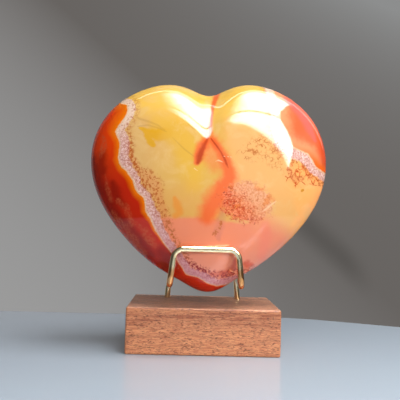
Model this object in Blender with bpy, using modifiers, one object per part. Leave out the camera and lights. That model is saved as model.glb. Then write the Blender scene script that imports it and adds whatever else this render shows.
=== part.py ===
"""A polished carnelian heart that stands in a brass wire cradle on a small wood block.

Metres, +Z up, +X to the right. The heart faces -Y.
The origin is on the table under the middle of the block.
"""

import math

import bmesh
import bpy
from mathutils import Matrix, Vector

MM = 0.001
FIT_GAP = 0.3 * MM

# The wood block, 2.5 by 1.5 by 0.75 inches, with its edges eased
BLOCK_WIDTH = 63.5 * MM
BLOCK_DEPTH = 38.1 * MM
BLOCK_HEIGHT = 19.05 * MM
BLOCK_EDGE_ROUND = 0.9 * MM
BLOCK_EDGE_SEGMENTS = 3

# The brass wire and the two holes that it stands in
WIRE_RADIUS = 1.25 * MM
WIRE_BEND = 4.0 * MM
WIRE_BEND_STEPS = 6
WIRE_BEVEL_RESOLUTION = 2
HOLE_SPACING = 32.7 * MM
HOLES_OFF_MIDDLE = 0.2 * MM
HOLE_FROM_REAR = 7.05 * MM
HOLE_DEPTH = 12.0 * MM
HOLE_SIDES = 24
HOLE_FLOOR_GAP = 0.6 * MM
DRILL_ABOVE_BLOCK = 6.0 * MM

# The back rest is one wire bent into a hoop, whose legs close in a little on the way up
BACK_REST_TOP = 62.0 * MM
BACK_REST_SPLAY = math.radians(5.0)

# The cradle is the other wire: a low hoop in front of the heart, with an arm on each side
# that runs back under the stone to the rest's leg
FRONT_BAR_HEIGHT = 43.4 * MM
FRONT_BAR_HALF = 12.2 * MM
ARM_HALF_SPACING = 14.4 * MM
ARM_SLOPE = math.radians(2.5)
ARM_PROBES = 25
ARM_END_GAP = 0.45 * MM

# The heart: its widest outline lies in one plane, which leans back and is turned a little
HEART_CENTRE = Vector((1.0 * MM, -5.8 * MM, 72.05 * MM))
HEART_LEAN = math.radians(5.5)
HEART_TURN = math.radians(1.08)
HEART_HALF_THICKNESS = 17.5 * MM
HEART_PUFF = 2.5
HEART_MEAN_RADIUS = 47.5 * MM
HEART_WAVES = (-3.9 * MM, -2.92 * MM, 2.95 * MM)
HEART_UNEVENNESS = (0.0, -0.29 * MM, -0.12 * MM, -0.19 * MM)
TIP_RISE = 3.2 * MM
TIP_ANGLE = math.radians(15.3)
CLEFT_DEPTH = 6.7 * MM
CLEFT_ANGLE = math.radians(14.4)
VALLEY_SHARE = 0.5
VALLEY_ANGLE = math.radians(20.2)
VALLEY_REACH = 3.7
HEART_MERIDIANS = 84
HEART_RINGS = 40

# Each finish: its colour, its roughness and how metallic it is
STONE_FINISH = ((0.84, 0.40, 0.10, 1.0), 0.08, 0.0)
BRASS_FINISH = ((0.78, 0.60, 0.28, 1.0), 0.16, 1.0)
WOOD_FINISH = ((0.49, 0.20, 0.105, 1.0), 0.5, 0.0)

# A wire is set against the stone by halving a line this many times,
# and by the stone's slope over this step
HALVINGS = 40
SLOPE_STEP = 0.5 * MM


def clear_scene():
    for item in list(bpy.data.objects):
        bpy.data.objects.remove(item)


def new_collection(name, hidden):
    collection = bpy.data.collections.new(name)
    collection.hide_render = hidden
    bpy.context.scene.collection.children.link(collection)
    return collection


def new_material(name, finish):
    colour, roughness, metallic = finish
    material = bpy.data.materials.new(name)
    material.use_nodes = True
    shader = material.node_tree.nodes["Principled BSDF"]
    shader.inputs["Base Color"].default_value = colour
    shader.inputs["Roughness"].default_value = roughness
    shader.inputs["Metallic"].default_value = metallic
    return material


def add_object(name, data, collection, parent):
    item = bpy.data.objects.new(name, data)
    item.parent = parent
    collection.objects.link(item)
    return item


def heart_radius(angle):
    """The outline's distance from its centre, at an angle from straight down, positive to the right.

    Slow waves give the broad heart, a narrow rise gives the tip, a narrow dip gives the cleft,
    and small odd waves give the unevenness of hand work.
    """
    side = abs(math.remainder(angle, math.tau))
    even = sum(size * math.cos((k + 1) * side) for k, size in enumerate(HEART_WAVES))
    odd = sum(size * math.sin((k + 1) * angle) for k, size in enumerate(HEART_UNEVENNESS))
    tip = TIP_RISE * math.exp(-((side / TIP_ANGLE) ** 2))
    cleft = CLEFT_DEPTH * math.exp(-(((math.pi - side) / CLEFT_ANGLE) ** 2))
    return HEART_MEAN_RADIUS + even + odd + tip - cleft


def heart_half_thickness(angle, across):
    """Half the thickness that the stone has at its middle, less where a valley runs in from the cleft.

    The valley is in both faces. across is 0 at the middle of a face and 1 at the outline.
    """
    side = abs(math.remainder(angle, math.tau))
    valley = VALLEY_SHARE * math.exp(-(((math.pi - side) / VALLEY_ANGLE) ** 2))
    return HEART_HALF_THICKNESS * (1 - valley * min(across, 1.0) ** VALLEY_REACH)


def heart_placement():
    """From the stone's own axes (right, up, towards the viewer) to the world."""
    upright = Matrix.Rotation(math.pi / 2 - HEART_LEAN, 4, "X")
    turned = Matrix.Rotation(HEART_TURN, 4, "Z")
    return Matrix.Translation(HEART_CENTRE) @ upright @ turned


def heart_level(point):
    """Below zero inside the stone, zero on its surface and above zero outside."""
    right, up, near = heart_placement().inverted() @ point
    angle = math.atan2(right, -up)
    across = math.hypot(right, up) / heart_radius(angle)
    return across**HEART_PUFF + (near / heart_half_thickness(angle, across)) ** 2 - 1


def surface_between(inside, outside):
    """Where the straight line from a point in the stone to one outside it meets the surface."""
    for _ in range(HALVINGS):
        middle = (inside + outside) / 2
        if heart_level(middle) < 0:
            inside = middle
        else:
            outside = middle
    return inside


def bar_beside_stone(height, towards):
    """The Y at which a wire along X touches the stone's front (towards = -1) or its back (towards = +1)."""
    core = Vector((0.0, HEART_CENTRE.y, height))
    reach = Vector((0.0, towards * 2 * HEART_HALF_THICKNESS, 0.0))
    step = Vector((0.0, 0.0, SLOPE_STEP))
    above = surface_between(core + step, core + step + reach).y
    below = surface_between(core - step, core - step + reach).y
    slope = (above - below) / (2 * SLOPE_STEP)
    return (above + below) / 2 + towards * (WIRE_RADIUS + FIT_GAP) * math.hypot(1.0, slope)


def leg_at(side, height):
    """The middle of a back rest's leg at a height. The legs stand in the block's holes."""
    hole_y = BLOCK_DEPTH / 2 - HOLE_FROM_REAR
    rise = height - BLOCK_HEIGHT
    backward = (bar_beside_stone(BACK_REST_TOP, 1) - hole_y) / (BACK_REST_TOP - BLOCK_HEIGHT)
    inward = math.tan(BACK_REST_SPLAY)
    x = HOLES_OFF_MIDDLE + side * (HOLE_SPACING / 2 - rise * inward)
    return Vector((x, hole_y + rise * backward, height))


def hoop_point(side, half, y, height):
    return Vector((HOLES_OFF_MIDDLE + side * half, y, height))


def arm_under_stone(bar_y):
    """The arms' height at the front hoop, so that the stone rests on the sloping arms."""
    heights = []
    step = Vector((SLOPE_STEP, 0.0, 0.0))
    for side in (-1, 1):
        front = hoop_point(side, ARM_HALF_SPACING, bar_y, FRONT_BAR_HEIGHT)
        rear = leg_at(side, (FRONT_BAR_HEIGHT + BLOCK_HEIGHT) / 2)
        for k in range(ARM_PROBES):
            y = HEART_CENTRE.y + (k / (ARM_PROBES - 1) - 0.5) * HEART_HALF_THICKNESS
            x = front.x + (rear.x - front.x) * (y - front.y) / (rear.y - front.y)
            core = Vector((x, y, HEART_CENTRE.z))
            floor = Vector((x, y, 0.0))
            right = surface_between(core + step, floor + step).z
            left = surface_between(core - step, floor - step).z
            slope = (right - left) / (2 * SLOPE_STEP)
            rest = surface_between(core, floor).z - (WIRE_RADIUS + FIT_GAP) * math.hypot(1.0, slope)
            heights.append(rest - (y - bar_y) * math.tan(ARM_SLOPE))
    return min(heights)


def rounded_path(corners, bend_radius):
    """The corners joined by straight runs, with an arc of the bend radius at each inner corner."""
    points = [corners[0]]
    for before, corner, after in zip(corners, corners[1:], corners[2:]):
        back = (before - corner).normalized()
        onward = (after - corner).normalized()
        half_angle = back.angle(onward) / 2
        centre = corner + (back + onward).normalized() * (bend_radius / math.sin(half_angle))
        run = bend_radius / math.tan(half_angle)
        start = (corner + back * run - centre).normalized()
        end = (corner + onward * run - centre).normalized()
        for k in range(WIRE_BEND_STEPS + 1):
            points.append(centre + start.slerp(end, k / WIRE_BEND_STEPS) * bend_radius)
    points.append(corners[-1])
    return points


def make_wire(name, corners, collection, parent, material):
    """A round wire with flat ends, bent at the corners."""
    points = rounded_path(corners, WIRE_BEND)
    curve = bpy.data.curves.new(name, "CURVE")
    curve.dimensions = "3D"
    curve.bevel_depth = WIRE_RADIUS
    curve.bevel_resolution = WIRE_BEVEL_RESOLUTION
    curve.use_fill_caps = True
    spline = curve.splines.new("POLY")
    spline.points.add(len(points) - 1)
    for target, point in zip(spline.points, points):
        target.co = (*point, 1.0)
    curve.materials.append(material)
    return add_object(name, curve, collection, parent)


def make_back_rest(collection, parent, material):
    """The hoop behind the heart. Its bar is against the stone's back, its ends are in the block's holes."""
    low = BLOCK_HEIGHT - HOLE_DEPTH + HOLE_FLOOR_GAP
    left_leg = [leg_at(-1, low), leg_at(-1, BACK_REST_TOP)]
    right_leg = [leg_at(1, BACK_REST_TOP), leg_at(1, low)]
    corners = left_leg + right_leg
    return make_wire("back_rest_wire", corners, collection, parent, material)


def make_front_cradle(collection, parent, material):
    """The low hoop, whose bar is against the stone's face, and the two arms that it rests on."""
    bar_y = bar_beside_stone(FRONT_BAR_HEIGHT, -1)
    arm_z = arm_under_stone(bar_y)
    sides = {}
    for side in (-1, 1):
        leg_y = leg_at(side, arm_z).y
        leg = leg_at(side, arm_z + (leg_y - bar_y) * math.tan(ARM_SLOPE))
        arm_end = leg - Vector((0.0, WIRE_RADIUS + ARM_END_GAP, 0.0))
        bend = hoop_point(side, ARM_HALF_SPACING, bar_y, arm_z)
        shoulder = hoop_point(side, FRONT_BAR_HALF, bar_y, FRONT_BAR_HEIGHT)
        sides[side] = [arm_end, bend, shoulder]
    corners = sides[-1] + sides[1][::-1]
    return make_wire("front_cradle_wire", corners, collection, parent, material)


def make_block(collection, cutters, parent, material):
    """The block with eased edges, and a hole drilled along each leg of the back rest."""
    bpy.ops.mesh.primitive_cube_add(size=1.0)
    block = bpy.context.object
    block.name = "wood_block"
    block.data.name = "wood_block"
    size = Matrix.Diagonal((BLOCK_WIDTH, BLOCK_DEPTH, BLOCK_HEIGHT, 1.0))
    block.data.transform(size)
    block.location = (0.0, 0.0, BLOCK_HEIGHT / 2)
    for owner in list(block.users_collection):
        owner.objects.unlink(block)
    collection.objects.link(block)
    block.parent = parent
    block.data.materials.append(material)
    edges = block.modifiers.new("eased edges", "BEVEL")
    edges.width = BLOCK_EDGE_ROUND
    edges.segments = BLOCK_EDGE_SEGMENTS
    for side, word in ((-1, "left"), (1, "right")):
        floor = leg_at(side, BLOCK_HEIGHT - HOLE_DEPTH)
        mouth = leg_at(side, BLOCK_HEIGHT + DRILL_ABOVE_BLOCK)
        drill = drilled_hole(f"{word}_hole", floor, mouth, cutters, parent)
        cut = block.modifiers.new(f"{word} hole", "BOOLEAN")
        cut.operation = "DIFFERENCE"
        cut.solver = "EXACT"
        cut.object = drill
    return block


def drilled_hole(name, floor, mouth, cutters, parent):
    """A cylinder from the hole's floor out past its mouth."""
    along = mouth - floor
    mesh = bpy.data.meshes.new(name)
    drill = bmesh.new()
    bmesh.ops.create_cone(
        drill,
        cap_ends=True,
        segments=HOLE_SIDES,
        radius1=WIRE_RADIUS + FIT_GAP,
        radius2=WIRE_RADIUS + FIT_GAP,
        depth=along.length,
    )
    drill.to_mesh(mesh)
    drill.free()
    cutter = add_object(name, mesh, cutters, parent)
    cutter.location = (floor + mouth) / 2
    cutter.rotation_euler = along.to_track_quat("Z", "Y").to_euler()
    cutter.hide_render = True
    cutter.display_type = "WIRE"
    return cutter


def make_heart(collection, parent, material):
    """A sphere whose poles face front and back, drawn out to the heart's outline and flattened."""
    mesh = bpy.data.meshes.new("carnelian_heart")
    stone = bmesh.new()
    bmesh.ops.create_uvsphere(stone, u_segments=HEART_MERIDIANS, v_segments=HEART_RINGS, radius=1.0)
    for vertex in stone.verts:
        right, up, near = vertex.co
        angle = math.atan2(right, -up)
        across = math.hypot(right, up) ** (2 / HEART_PUFF)
        radius = across * heart_radius(angle)
        thickness = heart_half_thickness(angle, across)
        vertex.co = (radius * math.sin(angle), -radius * math.cos(angle), near * thickness)
    stone.to_mesh(mesh)
    stone.free()
    mesh.shade_smooth()
    mesh.materials.append(material)
    heart = add_object("carnelian_heart", mesh, collection, parent)
    heart.location = HEART_CENTRE
    heart.rotation_euler = heart_placement().to_euler()
    return heart


def main():
    clear_scene()
    pieces = new_collection("carnelian_heart_on_stand", hidden=False)
    cutters = new_collection("cutters", hidden=True)
    table_point = add_object("table_point", None, pieces, None)
    stone = new_material("polished carnelian", STONE_FINISH)
    brass = new_material("polished brass", BRASS_FINISH)
    wood = new_material("oiled red-brown wood", WOOD_FINISH)
    make_block(pieces, cutters, table_point, wood)
    make_back_rest(pieces, table_point, brass)
    make_front_cradle(pieces, table_point, brass)
    make_heart(pieces, table_point, stone)


main()
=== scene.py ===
# %% [markdown]
# # A polished carnelian heart on a brass and wood stand
#
# The object is a puffy heart, cut from banded carnelian and polished. It stands in a cradle of brass
# wire on a small block of oiled wood. Each piece is made here as a smooth surface round the packed
# model, which gives every size and place, and then gets a finish made of shader nodes.
#
# All lengths are in metres. X is to the right, Z is up, and the heart faces -Y. The origin is on the
# table, under the middle of the block.

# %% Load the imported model
import math

import bpy
import numpy as np
from mathutils import Matrix, Vector


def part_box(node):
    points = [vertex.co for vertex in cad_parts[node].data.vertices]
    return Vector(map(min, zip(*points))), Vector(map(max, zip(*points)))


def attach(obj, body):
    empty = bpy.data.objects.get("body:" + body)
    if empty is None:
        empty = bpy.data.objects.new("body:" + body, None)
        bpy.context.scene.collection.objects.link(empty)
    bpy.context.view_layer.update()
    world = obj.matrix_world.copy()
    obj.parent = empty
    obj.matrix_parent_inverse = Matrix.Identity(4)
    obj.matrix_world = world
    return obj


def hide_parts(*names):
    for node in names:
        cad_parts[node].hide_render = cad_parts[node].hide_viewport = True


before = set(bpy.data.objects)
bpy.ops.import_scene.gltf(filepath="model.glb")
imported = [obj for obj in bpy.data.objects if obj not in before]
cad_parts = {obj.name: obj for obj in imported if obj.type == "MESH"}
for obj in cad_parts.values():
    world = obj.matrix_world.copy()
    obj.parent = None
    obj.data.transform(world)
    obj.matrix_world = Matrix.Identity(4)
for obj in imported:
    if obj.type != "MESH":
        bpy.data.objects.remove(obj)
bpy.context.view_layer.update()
MM = 0.001


def in_mm(corners):
    """Corners as rounded millimetres, for printing."""
    return [[round(value / MM, 1) for value in corner] for corner in corners]


print("nodes:", sorted(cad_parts))

# %% [markdown]
# ## The camera
#
# The photograph was taken from a little above the block's own height, about 23 cm in front of it, so
# the wide block shows its top as a thin strip. The camera leans over by under two degrees, which is
# why the table's edge isn't level. A camera could be aimed with a Track To constraint, but its matrix
# is written directly here, because then the small roll is one named number like the others.

# %% The camera
CAMERA_PLACE = Vector((-8.1, -228.7, 53.3)) * MM
CAMERA_YAW = math.radians(1.415)
CAMERA_PITCH = math.radians(2.731)
CAMERA_ROLL = math.radians(1.673)
CAMERA_LENS = 46.0


def camera_matrix(place, yaw, pitch, roll):
    """Columns right, up and backwards. Yaw turns towards +X, pitch looks up and roll tips the view."""
    forward = Vector((math.sin(yaw) * math.cos(pitch), math.cos(yaw) * math.cos(pitch), math.sin(pitch)))
    level = Vector((math.cos(yaw), -math.sin(yaw), 0.0))
    upright = level.cross(forward)
    right = math.cos(roll) * level + math.sin(roll) * upright
    up = -math.sin(roll) * level + math.cos(roll) * upright
    turned = Matrix((right, up, -forward)).transposed().to_4x4()
    return Matrix.Translation(place) @ turned


camera_data = bpy.data.cameras.new("camera")
camera_data.lens = CAMERA_LENS
camera_data.clip_start = 0.01
camera = bpy.data.objects.new("camera", camera_data)
camera.matrix_world = camera_matrix(CAMERA_PLACE, CAMERA_YAW, CAMERA_PITCH, CAMERA_ROLL)
bpy.context.scene.collection.objects.link(camera)
bpy.context.scene.camera = camera
bpy.context.scene.view_settings.view_transform = "Standard"
print("camera at", in_mm([camera.location])[0], "mm, lens", CAMERA_LENS)

# %% [markdown]
# ## Making a piece from a grid
#
# Every new piece is a function of two parameters, worked out with numpy for the whole grid at once.
# Sculpting or stacking modifiers could make such shapes too, but a formula is exact and is changed
# by one number. The grid's rows go along the piece and its columns go round it. A piece that closes
# on itself has its last column joined to its first, and a pole at each end closed by a fan.

# %% Mesh helpers
def add_piece(name, points, faces):
    """A smooth-shaded mesh object at the origin, from an array of points and a list of faces."""
    mesh = bpy.data.meshes.new(name)
    mesh.from_pydata(points, [], faces)
    mesh.update()
    mesh.shade_smooth()
    piece = bpy.data.objects.new(name, mesh)
    bpy.context.scene.collection.objects.link(piece)
    return piece


def grid_faces(rows, columns, closed=False):
    """Quads between neighbouring rows of a grid, whose columns may close into rings."""
    column = np.arange(columns if closed else columns - 1)
    after = (column + 1) % columns
    start = np.arange(rows - 1)[:, None] * columns
    corners = [start + column, start + after, start + after + columns, start + column + columns]
    return np.stack(corners, -1).reshape(-1, 4)


def closed_rings(rings):
    """Points and faces of a shape made of rings, with a pole in the middle of the first and last."""
    rows, columns = rings.shape[:2]
    points = np.concatenate([rings.reshape(-1, 3), rings[0].mean(0)[None], rings[-1].mean(0)[None]])
    ring = np.arange(columns)
    after = (ring + 1) % columns
    last = (rows - 1) * columns
    low_fan = np.stack([np.full(columns, len(points) - 2), after, ring], -1)
    high_fan = np.stack([np.full(columns, len(points) - 1), last + ring, last + after], -1)
    return points, grid_faces(rows, columns, True).tolist() + low_fan.tolist() + high_fan.tolist()


def store(piece, name, values):
    """Keeps one number for each point of a mesh, for its material to read."""
    kept = piece.data.attributes.new(name, "FLOAT", "POINT")
    kept.data.foreach_set("value", np.ascontiguousarray(values, dtype=np.float32).ravel())


# %% [markdown]
# ## Shader helpers
#
# A material is a tree of nodes. These helpers only shorten what the node editor does by hand: add a
# node, set its unlinked sockets and link the others. A field is one node's output, a value or colour
# that changes over the surface. Adding or multiplying fields adds Math nodes, so a mask can be
# written like a sum on paper. Colours are written as they look on a screen, 0 to 255, and turned into
# linear light, which is what shaders work in.

# %% Fields and nodes
class Field:
    """One output of a node."""

    def __init__(self, socket):
        self.socket = socket

    def __add__(self, other):
        return calc("ADD", self, other)

    def __sub__(self, other):
        return calc("SUBTRACT", self, other)

    def __rsub__(self, other):
        return calc("SUBTRACT", other, self)

    def __mul__(self, other):
        return calc("MULTIPLY", self, other)

    __radd__, __rmul__ = __add__, __mul__


def feed(socket, value):
    """Links a field to a socket, or sets a plain value on it."""
    if isinstance(value, Field):
        socket.id_data.links.new(value.socket, socket)
    else:
        socket.default_value = value


def add_node(kind, inputs, output=0, tree=None, **properties):
    """A node in the tree of its first field, with its inputs fed by name or number: one of its outputs."""
    tree = tree or next(value.socket.id_data for value in inputs.values() if isinstance(value, Field))
    made = tree.nodes.new("ShaderNode" + kind)
    for name, value in properties.items():
        setattr(made, name, value)
    for name, value in inputs.items():
        feed(made.inputs[name], value)
    return Field(made.outputs[output])


def calc(operation, *values, clamp=False):
    return add_node("Math", dict(enumerate(values)), operation=operation, use_clamp=clamp)


def part(place, axis):
    return add_node("SeparateXYZ", {"Vector": place}, axis)


def step(value, low, high):
    """0 below low, 1 above high and a smooth rise between them. High may be the lower one."""
    if low > high:
        return 1.0 - step(value, high, low)
    inputs = {"Value": value, "From Min": low, "From Max": high}
    return add_node("MapRange", inputs, interpolation_type="SMOOTHSTEP")


# %% Colours, noise and materials
def colour(red, green, blue):
    """A screen colour, 0 to 255, as linear light with full alpha."""
    share = np.array([red, green, blue]) / 255
    linear = np.where(share <= 0.04045, share / 12.92, ((share + 0.055) / 1.055) ** 2.4)
    return (*linear.tolist(), 1.0)


def blend(share, first, second):
    return add_node("Mix", {0: share, 6: first, 7: second}, 2, data_type="RGBA")


def lay(tone, over, mask, low, high, share=1.0):
    """A tone with another laid over it, where a mask rises from low to high, and up to a share."""
    return blend(step(mask, low, high) * share, tone, over)


def noise(place, scale, detail=3.0, roughness=0.5, distortion=0.0, output="Fac"):
    """Soft noise of about 0.25 to 0.75 round 0.5."""
    inputs = {"Vector": place, "Scale": scale, "Detail": detail, "Roughness": roughness}
    return add_node("TexNoise", {**inputs, "Distortion": distortion}, output)


def shifted(value, span, by):
    """A value plus noise round zero, with the noise's span."""
    return value + (by - 0.5) * span


def stretched(place, *sizes):
    """Coordinates in which a pattern of size 1 has these sizes along X, Y and Z, in millimetres."""
    return add_node("Mapping", {"Vector": place, "Scale": [1 / (size * MM) for size in sizes]})


def new_material(name):
    material = bpy.data.materials.new(name)
    material.use_nodes = True
    return material


def attribute(material, name):
    return add_node("Attribute", {}, "Fac", material.node_tree, attribute_name=name)


def object_place(material):
    return add_node("TexCoord", {}, "Object", material.node_tree)


def set_shader(material, **inputs):
    """Feeds the material's Principled BSDF. A socket's name is written with _ for its spaces."""
    for name, value in inputs.items():
        feed(material.node_tree.nodes["Principled BSDF"].inputs[name.replace("_", " ")], value)


# %% [markdown]
# ## A shared effect: faint smudges
#
# Polished stone, brass and oiled wood all show the same thing when a light slides over them: a thin
# film from handling, which makes the gloss a little uneven. It is one node group, placed in each
# material with its own size and strength, and it puts out a roughness.

# %% The smudge group
def new_group(name, values, output):
    """A node group with a vector and values going in, as fields, and one value coming out."""
    group = bpy.data.node_groups.new(name, "ShaderNodeTree")
    group.interface.new_socket("Vector", in_out="INPUT", socket_type="NodeSocketVector")
    for value in values:
        group.interface.new_socket(value, in_out="INPUT", socket_type="NodeSocketFloat")
    group.interface.new_socket(output, in_out="OUTPUT", socket_type="NodeSocketFloat")
    entry = group.nodes.new("NodeGroupInput").outputs
    fields = [Field(entry[socket]) for socket in ("Vector", *values)]
    return group, fields, group.nodes.new("NodeGroupOutput").inputs[output]


def make_smudges():
    values = ("Scale", "Least", "Most")
    group, (place, scale, least, most), leave = new_group("faint smudges", values, "Roughness")
    film = noise(place, scale, detail=4.0, roughness=0.6, distortion=0.6)
    feed(leave, least + step(film, 0.38, 0.68) * (most - least))
    return group


SMUDGES = make_smudges()


def smudged(place, scale, least, most):
    inputs = {"Vector": place, "Scale": scale, "Least": least, "Most": most}
    return add_node("Group", inputs, node_tree=SMUDGES)


print("node group:", SMUDGES.name)

# %% [markdown]
# ## The table and the backdrop
#
# The object stands near the far edge of a pale blue-grey table, in front of a plain grey wall that is
# well behind it. The table is a slab whose far edge is rounded over and bends towards the viewer at
# the right. One infinite floor would be simpler, but its horizon would cross the heart.

# %% The table and the wall
TABLE_FAR_EDGE = [
    (-135, 77), (20, 78), (52, 77.5), (68, 74), (84, 68), (112, 57), (170, 33),
]
TABLE_EDGE_ROUND = 5.0 * MM
TABLE_NEAR_Y = -0.8
TABLE_THICKNESS = 24.0 * MM
WALL_Y = 0.9
WALL_HALF_WIDTH = 1.6
WALL_HEIGHTS = (-0.9, 1.5)
WALL_LINES = 9


def table_section(far_y, steps=12):
    """Y and Z of the table's section: near edge, top, a round far edge, and back along the underside."""
    turn = np.linspace(0.0, math.pi / 2, steps)
    arc_y = far_y - TABLE_EDGE_ROUND + TABLE_EDGE_ROUND * np.sin(turn)
    arc_z = -TABLE_EDGE_ROUND + TABLE_EDGE_ROUND * np.cos(turn)
    y = np.concatenate([[TABLE_NEAR_Y, TABLE_NEAR_Y], arc_y, [far_y]])
    z = np.concatenate([[-TABLE_THICKNESS, 0.0], arc_z, [-TABLE_THICKNESS]])
    return y, z


def make_table():
    """A section at each point of the far edge, from right to left, closed by its two ends."""
    sections = []
    for x, far_y in reversed(TABLE_FAR_EDGE):
        y, z = table_section(far_y * MM)
        sections.append(np.stack(np.broadcast_arrays(x * MM, y, z), -1))
    count = len(sections[0])
    last = count * (len(sections) - 1)
    faces = grid_faces(len(sections), count, True).tolist()
    faces.append(list(range(count))[::-1])
    faces.append(list(range(last, last + count)))
    table = add_piece("table", np.concatenate(sections), faces)
    table.data.set_sharp_from_angle(angle=math.radians(40))
    return table


def make_wall():
    x = np.linspace(-WALL_HALF_WIDTH, WALL_HALF_WIDTH, WALL_LINES)
    across, up = np.meshgrid(x, np.linspace(*WALL_HEIGHTS, WALL_LINES))
    points = np.stack([across, np.full_like(across, WALL_Y), up], -1).reshape(-1, 3)
    wall = add_piece("wall", points, grid_faces(WALL_LINES, WALL_LINES).tolist())
    return wall


table = make_table()
wall = make_wall()
print("table:", len(table.data.vertices), "points, wall at y =", WALL_Y / MM, "mm")

# %% The table's and the wall's materials
TABLE_FAR_SHADE = colour(151, 162, 176)
TABLE_NEAR_LIGHT = colour(187, 203, 220)
WALL_DARK = colour(103, 99, 96)
WALL_LIT = colour(162, 162, 162)
WALL_CORNER = colour(141, 142, 142)
WALL_SHADOW = colour(78, 75, 72)
BLACK = (0.0, 0.0, 0.0, 1.0)

table_paint = new_material("pale blue-grey table")
place = object_place(table_paint)
cloud = 0.45 + 0.1 * noise(place, 14.0, detail=2.0)
# Painted light: the table gets lighter towards the viewer and to the right, over a faint random cloud.
painted_light_share = calc("ADD", cloud - 4.4 * part(place, "Y"), 2.8 * part(place, "X"), clamp=True)
tone = blend(painted_light_share, TABLE_FAR_SHADE, TABLE_NEAR_LIGHT)
set_shader(table_paint, Base_Color=tone, Roughness=smudged(place, 9.0, 0.10, 0.13))
table.data.materials.append(table_paint)


def fading(distance, reach):
    """1 at no distance, falling to nothing over a few reaches."""
    return calc("EXPONENT", distance * (-1 / reach))


# The wall glows with painted light and shade: lighter below a slanting edge, dark only at the right,
# lighter in its top right corner, and with a painted shadow along that edge. Its lamps are out of the
# picture, so it gives the light that it would reflect.
wall_paint = new_material("grey wall with painted light and shade")
place = object_place(wall_paint)
x, z = part(place, "X"), part(place, "Z")
below = 0.21 - 0.646 * x - 0.763 * z
lit = (1.0 - fading(calc("MAXIMUM", below, 0.0), 0.30)) * (1.0 - 0.62 * step(x, -0.2, 0.25))
right = calc("POWER", calc("ADD", 1.15 * x, 0.48, clamp=True), 2.0)
corner = calc("MULTIPLY", right, fading(0.55 - z, 0.17), clamp=True)
edge = step(calc("ABSOLUTE", below), 0.045, 0.0) * step(x, -0.1, 0.22) * step(x, 0.42, 0.34)
tone = blend(corner, blend(lit, WALL_DARK, WALL_LIT), WALL_CORNER)
# A painted shadow along the slanting edge.
tone = blend(0.55 * edge, tone, WALL_SHADOW)
set_shader(wall_paint, Base_Color=BLACK, Roughness=1.0, Specular_IOR_Level=0.0)
set_shader(wall_paint, Emission_Color=tone, Emission_Strength=1.0)
wall.data.materials.append(wall_paint)

# %% [markdown]
# ## The light
#
# The heart's two bright patches are reflections of one large window, up and to the right, in two
# panes with a thin bar between them. A polished convex face shows the shape of each light, so an area
# light of the wrong outline would be seen at once. The panes are glowing meshes that the camera
# doesn't see, set out by the directions in which the heart's polish shows their edges. Behind the
# upper pane a haze fades out upwards. A soft strip overhead draws the thin bright line just inside
# the heart's top outline.

# %% The window panes
LIGHT_CENTRE = Vector((1.0, -20.0, 75.0)) * MM
LIGHT_DISTANCE = 1.1
WINDOW_STRENGTH = 24.0
STRIP_STRENGTH = 8.0
DAYLIGHT_TINT = (1.0, 0.985, 0.95, 1.0)
LOWER_PANE_LOW = [
    (-0.22, -0.48), (-0.12, -0.56), (-0.03, -0.62), (0.06, -0.675), (0.20, -0.71), (0.34, -0.745),
    (0.45, -0.75), (0.56, -0.745), (0.645, -0.73),
]
LOWER_PANE_HIGH = [
    (-0.20, -0.41), (-0.11, -0.44), (-0.02, -0.47), (0.08, -0.49), (0.18, -0.50), (0.29, -0.505),
    (0.40, -0.49), (0.52, -0.47), (0.67, -0.60),
]
UPPER_PANE_LOW = [
    (-0.20, -0.39), (-0.07, -0.43), (0.05, -0.455), (0.15, -0.47), (0.26, -0.475), (0.38, -0.465),
    (0.49, -0.425), (0.51, -0.31), (0.54, -0.15), (0.55, 0.0),
]
UPPER_PANE_HIGH = [
    (-0.22, -0.03), (-0.10, 0.0), (-0.02, 0.03), (0.07, 0.045), (0.16, 0.055), (0.25, 0.065),
    (0.34, 0.065), (0.42, 0.06), (0.50, 0.055), (0.56, 0.04),
]
STRIP_LINE = [
    (-0.45, 0.11), (-0.36, 0.15), (-0.20, 0.19), (0.0, 0.22), (0.20, 0.25), (0.37, 0.29), (0.50, 0.32),
    (0.60, 0.36), (0.69, 0.38), (0.75, 0.42), (0.78, 0.48), (0.80, 0.52),
]
STRIP_HALF_WIDTH = 0.02
PANE_ROWS = 15
CURTAIN = (-0.20, 0.10)
HAZE_REACH = 0.36
HAZE_DISTANCE = 1.15


def towards(directions, distance=LIGHT_DISTANCE):
    """Points at a distance, in upward directions given by their shares to the right and back."""
    right, back = np.array(directions, float).T
    unit = np.stack([right, back, np.sqrt(1 - right**2 - back**2)], -1)
    return np.array(LIGHT_CENTRE) + distance * unit


def soft_step(value, low, high):
    """0 below low, 1 above high and a smooth rise between them."""
    share = np.clip((value - low) / (high - low), 0, 1)
    return share * share * (3 - 2 * share)


def glowing(name, strength):
    """Daylight, dimmed where the mesh's stored glow is under 1."""
    material = new_material(name)
    tone = blend(attribute(material, "glow"), BLACK, DAYLIGHT_TINT)
    set_shader(material, Base_Color=BLACK, Emission_Color=tone, Emission_Strength=strength)
    return material


def make_pane(name, low_edge, high_edge, material, across=1.0, upward=1.0):
    """Straight lines from one edge to the other. Its glow is a share for each line times one per row."""
    share = np.linspace(0.0, 1.0, PANE_ROWS)[:, None, None]
    points = (1 - share) * np.array(low_edge) + share * np.array(high_edge)
    columns = points.shape[1]
    pane = add_piece(name, points.reshape(-1, 3), grid_faces(PANE_ROWS, columns).tolist())
    store(pane, "glow", np.broadcast_to(across, columns) * np.broadcast_to(upward, PANE_ROWS)[:, None])
    pane.data.materials.append(material)
    pane.visible_camera = False
    return pane


def curtained(edge):
    """The window's left end is behind a curtain, so it dims there."""
    return soft_step(np.array(edge)[:, 0], *CURTAIN)


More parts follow.
